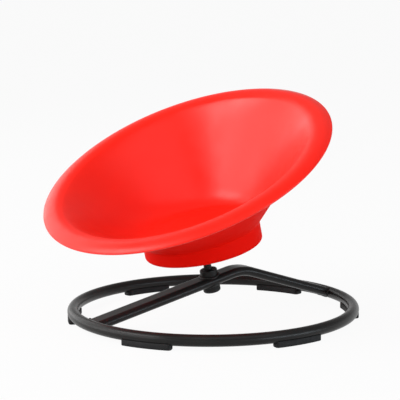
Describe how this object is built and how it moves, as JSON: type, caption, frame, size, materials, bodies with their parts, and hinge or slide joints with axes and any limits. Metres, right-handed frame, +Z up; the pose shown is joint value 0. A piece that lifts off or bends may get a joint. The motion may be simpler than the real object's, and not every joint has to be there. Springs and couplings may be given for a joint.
{
  "type": "toddler spinning seat",
  "caption": "Child's spinning seat: a tilted plastic dish with a flared lip turns on a leaning spindle, which a bent bar carries across a round-tube floor ring with curved pads.",
  "frame": {"origin": "on the floor under the centre of the floor ring", "axes": "+Z up, X along the bent bar with its long leg towards -X, Y across the bar"},
  "size_m": [0.6761, 0.6447, 0.4812],
  "materials": {
    "seat_plastic": "glossy moulded red",
    "frame_paint": "satin black powder coat",
    "pad_rubber": "matt black",
    "cap_plastic": "matt black",
    "cage_plastic": "matt brown",
    "bright_steel": "zinc plated",
    "bearing_steel": "ground and polished",
    "insert_brass": "satin"
  },
  "bodies": {
    "base": {"base_ring": "frame_paint", "crossbar": "frame_paint", "bearing_housing": "frame_paint", "housing_welds": "frame_paint", "housing_cap": "cap_plastic", "foot_pad_1": "pad_rubber", "foot_pad_2": "pad_rubber", "foot_pad_3": "pad_rubber", "foot_pad_4": "pad_rubber", "foot_pad_5": "pad_rubber", "foot_pad_6": "pad_rubber", "foot_screws": "bright_steel", "dust_seal": "pad_rubber", "housing_circlip": "bright_steel", "upper_outer_race": "bearing_steel", "lower_outer_race": "bearing_steel"},
    "seat": {"upper_inner_race": "bearing_steel", "lower_inner_race": "bearing_steel", "race_spacer": "bright_steel", "spindle": "frame_paint", "spindle_washer": "bright_steel", "spindle_nut": "bright_steel", "hub_plate": "frame_paint", "seat_bolts": "bright_steel", "seat_washers": "bright_steel", "seat_inserts": "insert_brass", "seat_shell": "seat_plastic"},
    "upper_ball_set": {"upper_balls": "bearing_steel", "upper_cage": "cage_plastic"},
    "lower_ball_set": {"lower_balls": "bearing_steel", "lower_cage": "cage_plastic"}
  },
  "joints": [
    {"name": "seat_spin", "type": "hinge", "parent": "base", "child": "seat", "pos_m": [-0.007, 0, 0.0835], "axis": [-0.2028, 0, 0.9792], "continuous": true},
    {"name": "upper_balls_roll", "type": "hinge", "parent": "base", "child": "upper_ball_set", "pos_m": [-0.007, 0, 0.0835], "axis": [-0.2028, 0, 0.9792], "continuous": true},
    {"name": "lower_balls_roll", "type": "hinge", "parent": "base", "child": "lower_ball_set", "pos_m": [-0.007, 0, 0.0835], "axis": [-0.2028, 0, 0.9792], "continuous": true}
  ],
  "couplings": [
    {"joint": "upper_balls_roll", "follows": "seat_spin", "ratio": 0.39872},
    {"joint": "lower_balls_roll", "follows": "seat_spin", "ratio": 0.39872}
  ]
}
